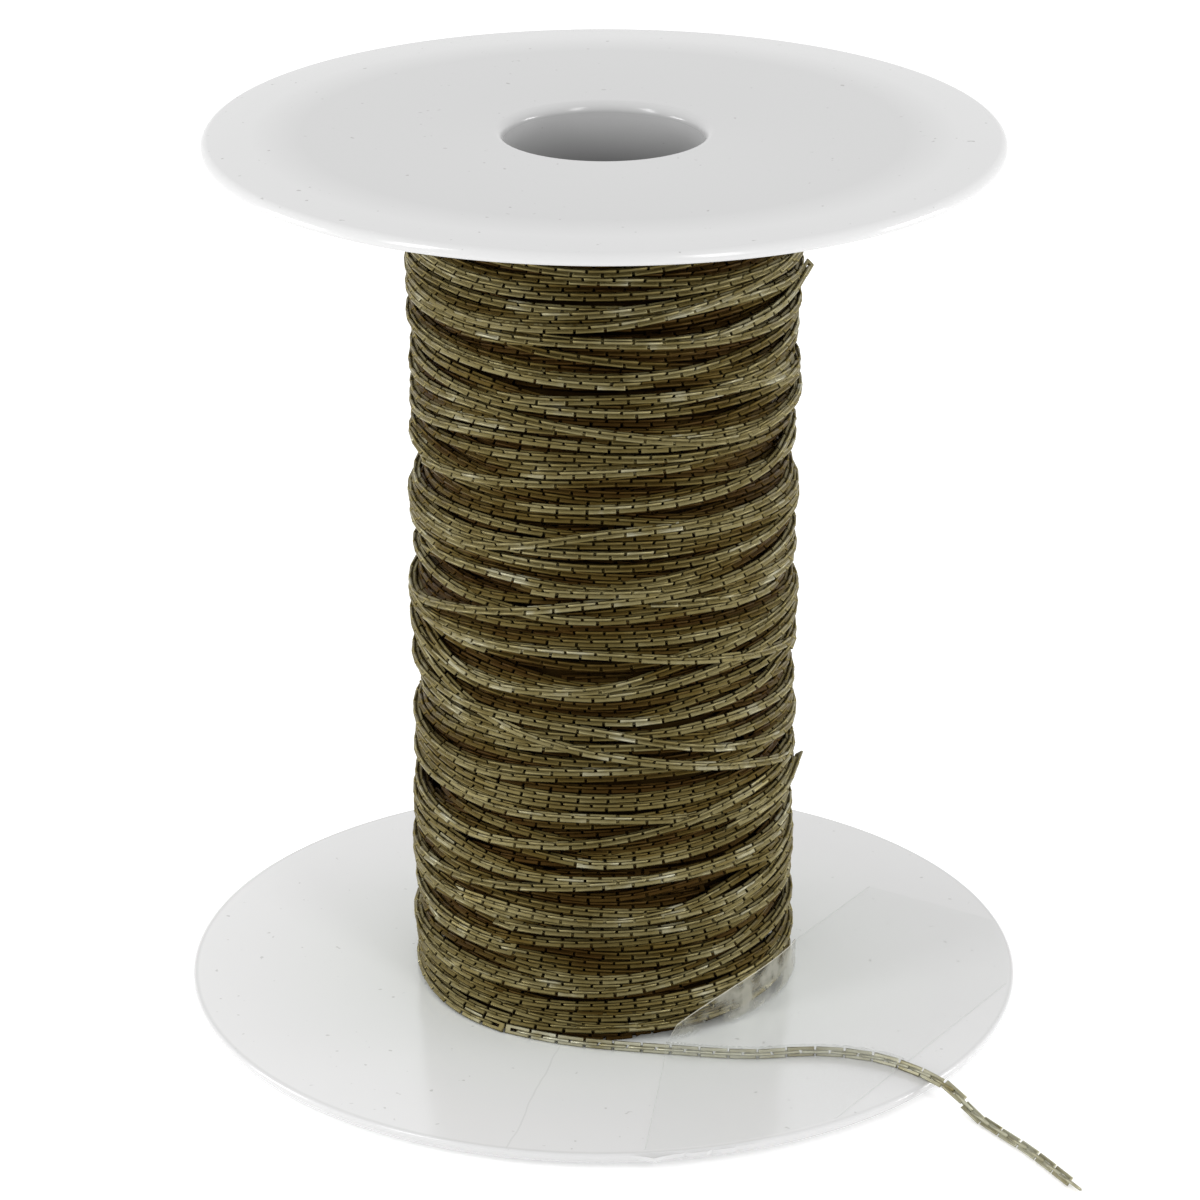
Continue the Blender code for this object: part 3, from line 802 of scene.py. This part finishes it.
def wind():
    """Winds the spool. Returns each turn's heights and radii, and the finished surface."""
    rng = np.random.default_rng(WINDING_SEED)
    surface = np.full((ANGLES, CELLS), BASE_RADIUS)
    outer = [np.array(row[:5]) * MM for row in OUTER_TURNS]
    heights, radii = [], []
    load = coming_load(outer)
    here, bundle = hollow_front(surface, load, rng), 0
    fronts = [here]
    for count in range(INNER_TURNS):
        if bundle <= 0:
            bundle = int(rng.integers(1, 5))
            step = 2 * STRAND_HALF * rng.choice((-1, 1)) * rng.uniform(1.0, 1.5)
            after = hollow_front(surface, load, rng)
        else:
            after = here + step + WANDER * rng.normal(size=5)
            if not LOWEST < after.mean() < HIGHEST:
                after, bundle = hollow_front(surface, load, rng), 1
        if count == INNER_TURNS - 1:
            after = outer[0]
        bundle -= 1
        height = turn_heights(here, fronts[-1], after, rng)
        radius = squeezed(pull_tight(lay_turn(surface, height)))
        raise_surface(surface, height, radius)
        heights.append(height)
        radii.append(radius)
        fronts.append(here)
        here = after
    for k, row in enumerate(outer):
        before, after = (outer[k - 1] if k else fronts[-1]), outer[min(k + 1, len(outer) - 1)]
        heights.append(turn_heights(row, before, after, rng))
        radii.append(None)
    is_over = [len(row) > 5 for row in OUTER_TURNS]
    for wanted in (False, True):
        for k in (k for k, over in enumerate(is_over) if over == wanted):
            height = heights[INNER_TURNS + k]
            rest = squeezed(lay_turn(surface, height))
            rest = np.maximum(rest, slack_radius(height) * (height < SLACK_TOP))
            radii[INNER_TURNS + k] = pull_tight(rest)
            raise_surface(surface, height, radii[INNER_TURNS + k])
    for before, after in zip(radii, radii[1:]):
        after[: len(JOIN)] = before[-1] * (1 - JOIN) + after[: len(JOIN)] * JOIN
    return heights, radii, surface


heights, radii, surface = wind()
levels = surface.mean(axis=0)[: CELLS // 50 * 50].reshape(-1, 50).mean(axis=1) / MM
print("wound radius every 5 mm of height:", np.round(levels, 2).tolist())

# %% [markdown]
# ## Links on the wound strand
# The wound line gets its links, twisted so that they lie on two arms with a corner outwards. Links that
# lie well below the finished surface can't be seen, so they are left out. The rest keep their depth as
# a tone. Bands by height keep each object small enough to handle.

# %% Wound links
BANDS, LINK_SEED = 6, 5
HIDDEN_DEPTH, DARK_DEPTH = 0.55 * MM, 0.68 * MM
TWIST_WANDER, TWIST_LENGTH, LEVEL_HALF = 0.13, 9 * MM, 15
TAIL_ANGLE = math.radians(TAIL_ON_WINDING[0][0])


def slow_noise(rng, stops, wavelength):
    knots = rng.normal(0, 1, int(stops[-1] / wavelength) + 4)
    return np.interp(stops / wavelength, np.arange(len(knots)), knots)


def envelope_of(surface):
    """The level that the highest strands reach round each place."""
    high = surface.copy()
    for shift in range(-6, 7):
        high = np.maximum(high, np.roll(surface, shift, axis=1))
    kernel = np.ones(2 * LEVEL_HALF + 1) / (2 * LEVEL_HALF + 1)
    padded = np.pad(high, ((0, 0), (LEVEL_HALF, LEVEL_HALF)), mode="edge")
    high = np.apply_along_axis(lambda row: np.convolve(row, kernel, mode="valid"), 1, padded)
    return np.apply_along_axis(lambda column: smoothed(column, 7), 0, high)


def wound_line():
    """The strand's line, cut where the tail takes over."""
    theta = THETA[0] + np.arange(len(heights) * ANGLES) / ANGLES * 2 * math.pi
    cut = ANGLES - int(((TAIL_ANGLE - START_ANGLE) % (2 * math.pi)) / (2 * math.pi) * ANGLES)
    radius, height = np.concatenate(radii), np.concatenate(heights)
    return np.column_stack([radius * np.cos(theta), radius * np.sin(theta), height])[:-cut]


def make_winding():
    line = wound_line()
    points, stops = resample(line, LINK_PITCH)
    rng = np.random.default_rng(LINK_SEED)
    twist = math.pi / 4 + TWIST_WANDER * slow_noise(rng, stops, TWIST_LENGTH)
    corners = link_corners(points, points * [1, 1, 0], twist)
    turns = (np.arctan2(points[:, 1], points[:, 0]) - START_ANGLE) / (2 * math.pi)
    row = (turns % 1 * ANGLES).astype(int)
    top = np.hypot(points[:, 0], points[:, 1]) + STRAND_HALF
    cover = np.min([surface[row, cell_of(points[:, 2], shift)] for shift in range(-3, 4)], axis=0) - top
    # Depth below the highest strands darkens the tone: painted shade in the gaps, with the patina there.
    depth = envelope_of(surface)[row, cell_of(points[:, 2])] - top
    tone = np.clip(1.02 - depth / DARK_DEPTH, 0, 1) * (0.66 + 0.22 * rng.random(len(points)))
    seen = cover < HIDDEN_DEPTH
    band = (points[:, 2] - LOWER_FACE) / (UPPER_FACE - LOWER_FACE) * BANDS
    band = np.clip(band, 0, BANDS - 1).astype(int)
    for k in range(BANDS):
        keep = seen & (band == k)
        made = link_object(f"wound_chain_{k + 1}", corners[keep], tone[keep])
        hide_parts("outer_winding")
        print(made.name, int(keep.sum()), "links")
    print(f"{stops[-1]:.1f} m wound here, tone {tone[seen].mean():.2f}")
    print(f"{int(seen.sum())} of {len(points)} links kept")


make_winding()

# %% [markdown]
# Behind the links lies a dark core, the buried turns. Its near-black colour is painted shade of the
# deep turns, together with their patina. It stops light from passing between strands, as the inner
# layers do.

# %% Buried turns
def make_core():
    radius, gap, ripple = BASE_RADIUS + 0.2 * MM, 0.2 * MM, 0.15 * MM
    rows = np.linspace(UPPER_FACE - gap, LOWER_FACE + gap, 210)
    outline = [(radius + ripple * math.sin(2 * math.pi * z / (2 * STRAND_HALF)), z) for z in rows]
    outline += [(radius - MM, LOWER_FACE + gap), (radius - MM, UPPER_FACE - gap)]
    made = new_object("buried_turns", turned_mesh("buried_turns", outline, 96), buried_brass)
    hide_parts("outer_winding")


make_core()

# %% [markdown]
# ## The two cut ends
# One length of chain ended part way, and another was started. Both cut ends lie round the winding for a
# while and then stand off it in a straight line at the right.

# %% Cut ends
END_RADIUS, END_SUNK, END_RISE = WINDING_RADIUS + 0.35 * MM, 0.5 * MM, 8 * MM
CUT_ENDS = {
    "inner_chain_end": (60.8 * MM, -62, -17, 4.3 * MM, 2.2 * MM),
    "outer_chain_start": (19.0 * MM, -48, -13, 3.2 * MM, 1.2 * MM),
}


def end_route(height, start, lift_off, stand_off, climb):
    """A strand lying round the winding, then leaving it in a straight line."""
    start, lift_off = math.radians(start), math.radians(lift_off)
    around = END_RADIUS * (lift_off - start)
    points = []
    for s in np.linspace(0, around + stand_off, 60):
        angle, past = start + min(s, around) / END_RADIUS, max(0.0, s - around)
        sunk = END_SUNK * max(0.0, 1 - s / END_RISE)
        x = (END_RADIUS - sunk) * math.cos(angle) - past * math.sin(angle)
        y = (END_RADIUS - sunk) * math.sin(angle) + past * math.cos(angle)
        points.append((x, y, height + climb * s / (around + stand_off)))
    return np.array(points)


for name, (height, *rest) in CUT_ENDS.items():
    points, stops = resample(end_route(height, *rest), LINK_PITCH)
    twist = math.pi / 4 + 0.25 * np.sin(stops / (5 * MM))
    made = link_object(name + "_links", link_corners(points, points * [1, 1, 0], twist), 0.85 + 0 * stops)
    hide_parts(name)
    print(made.name, len(points), "links")

# %% [markdown]
# ## The tape
# A strip of clear film was laid across the tail, from beside the winding to the rim. Its near end is cut
# slantwise. Most of it lies flat, it makes a tent over the tail, and its inner edge turns up against the
# lowest turns. It is a grid whose points are dropped onto what lies below, with a narrow border that
# shows as the cut edge.

# %% Tape
TAPE_HEADING = math.radians(57)
TAPE_WIDTH, TAPE_START, TAPE_END, TAPE_LAP = 19.0 * MM, -8.5 * MM, 24.0 * MM, 3.4 * MM
TAPE_SLANT, TAPE_FRONT = 2.0, -27.5 * MM
TAPE_OVER, TENT_FLAT, TENT_SLOPE, EDGE_LINE = 0.06 * MM, 0.42 * MM, 1.1 * MM, 0.11 * MM
WALL_RADIUS, WALL_RISE, RIM_MARGIN = WINDING_RADIUS + 0.75 * MM, 0.90, 0.5 * MM
TENT_HAZE, WALL_HAZE, RIM_OVERHANG, TAPE_GRID = 0.32, 0.35 * MM, 0.6 * MM, (128, 64)


def distance_to_tail(place):
    start, step = TAIL_PATH[:-1, :2], np.diff(TAIL_PATH[:, :2], axis=0)
    share = np.clip(((place - start) * step).sum(axis=1) / (step**2).sum(axis=1), 0, 1)
    return float(np.linalg.norm(start + step * share[:, None] - place, axis=1).min())


def tape_point(place):
    """Where a point of the flat strip comes to rest, and how hazy the film is there."""
    x, y = place
    r = math.hypot(x, y)
    near = (TENT_SLOPE - distance_to_tail(place)) / (TENT_SLOPE - TENT_FLAT)
    near = min(1.0, max(0.0, near))
    z = LOWER_FACE + TAPE_OVER + (CHAIN_WIDTH + TAPE_OVER) * near * near * (3 - 2 * near)
    if r > WALL_RADIUS:
        return (x, y, z), TENT_HAZE * near
    up = WALL_RADIUS - r
    z = max(z, LOWER_FACE + WALL_RISE * up)
    return (x * WALL_RADIUS / r, y * WALL_RADIUS / r, z), min(1.0, up / WALL_HAZE)


def make_tape():
    along = np.array([math.cos(TAPE_HEADING), math.sin(TAPE_HEADING)])
    out = np.array([along[1], -along[0]])
    inner, outer = WINDING_RADIUS - TAPE_LAP, WINDING_RADIUS - TAPE_LAP + TAPE_WIDTH
    border = EDGE_LINE / (TAPE_END - TAPE_START)
    lengths = [0.0, *np.linspace(border, 1 - border, TAPE_GRID[0]), 1.0]
    widths = [inner, *np.linspace(inner + EDGE_LINE, outer - EDGE_LINE, TAPE_GRID[1]), outer]
    points, haze, inside = [], [], []
    for share in lengths:
        for w in widths:
            first = max(TAPE_START - TAPE_SLANT * (w - inner), TAPE_FRONT)
            place = along * (first + share * (TAPE_END - first)) + out * w
            r = float(np.linalg.norm(place))
            inside.append(r < LOWER_RADIUS - RIM_MARGIN + RIM_OVERHANG)
            if r > LOWER_RADIUS - RIM_MARGIN:
                place = place * (LOWER_RADIUS - RIM_MARGIN) / r
            point, haziness = tape_point(place)
            points.append(point)
            haze.append(haziness)
    across, faces, edge = len(widths), [], []
    for i in range(len(lengths) - 1):
        for j in range(across - 1):
            corners = (i * across + j, (i + 1) * across + j, (i + 1) * across + j + 1, i * across + j + 1)
            if all(inside[c] for c in corners):
                faces.append(corners)
                edge.append(float(i == 0 or j in (0, across - 2)))
    mesh = bpy.data.meshes.new("clear_strip")
    mesh.from_pydata(points, [], faces)
    mesh.polygons.foreach_set("use_smooth", [True] * len(faces))
    mesh.attributes.new("haze", "FLOAT", "POINT").data.foreach_set("value", haze)
    mesh.attributes.new("edge", "FLOAT", "FACE").data.foreach_set("value", edge)
    made = new_object("clear_strip", mesh, film)
    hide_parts("tail_tape")
    print("tape faces:", len(faces))


make_tape()

# %% [markdown]
# ## Floor and light
# A white floor and an even white surround give the shadowless look of a catalogue picture. The floor
# glows a little, as a light table does. Two softboxes in front put short streaks on the rim of the upper
# flange and glints on the links. Two more, low at the sides, brighten the winding's left and right edges.

# %% Floor
FLOOR_SIZE, FLOOR_COLOUR, FLOOR_GLOW = 8.0, (0.90, 0.90, 0.90), 0.25


def floor_group():
    tree = new_group("paper", "Color", "Roughness")
    out = tree.nodes.new("NodeGroupOutput")
    lighter = tuple(1.005 * c for c in FLOOR_COLOUR)
    fibre = ramp(tree, noise(tree, 40.0), (0.3, FLOOR_COLOUR), (0.7, lighter))
    tree.links.new(fibre, out.inputs["Color"])
    rough = mathematics(tree, "MULTIPLY_ADD", noise(tree, 20.0), 0.05, 0.85)
    tree.links.new(rough, out.inputs["Roughness"])
    return tree


half = FLOOR_SIZE / 2
corners = [(-half, -half, 0), (half, -half, 0), (half, half, 0), (-half, half, 0)]
sheet = bpy.data.meshes.new("floor")
sheet.from_pydata(corners, [], [(0, 1, 2, 3)])
floor = bpy.data.objects.new("floor", sheet)
scene.collection.objects.link(floor)
paper = material("paper", floor_group())
glow = paper.node_tree.nodes["Principled BSDF"].inputs
glow["Emission Color"].default_value = (1.0, 1.0, 1.0, 1.0)
glow["Emission Strength"].default_value = FLOOR_GLOW
sheet.materials.append(paper)

# %% Light
WORLD_STRENGTH = 1.0
TARGET = Vector((0.0, 0.0, SPOOL_HEIGHT / 2))
SOFTBOXES = {
    "left": ((-0.55, -0.36, 0.45), (0.16, 0.40), 1.1),
    "right": ((0.36, -0.56, 0.45), (0.16, 0.40), 1.0),
    "far left": ((-0.60, 0.02, 0.07), (0.20, 0.20), 1.5),
    "far right": ((0.60, 0.02, 0.07), (0.20, 0.20), 1.5),
}
world = bpy.data.worlds.new("studio")
scene.world = world
world.use_nodes = True
world.node_tree.nodes["Background"].inputs["Color"].default_value = (1.0, 1.0, 1.0, 1.0)
world.node_tree.nodes["Background"].inputs["Strength"].default_value = WORLD_STRENGTH
for name, (place, size, power) in SOFTBOXES.items():
    light = bpy.data.lights.new(name, "AREA")
    light.shape = "RECTANGLE"
    light.size, light.size_y = size
    light.energy = power
    lamp = bpy.data.objects.new(name, light)
    lamp.location = place
    lamp.rotation_euler = (TARGET - Vector(place)).to_track_quat("-Z", "Y").to_euler()
    scene.collection.objects.link(lamp)
scene.view_settings.view_transform = "Standard"
print("lights:", ", ".join(SOFTBOXES))
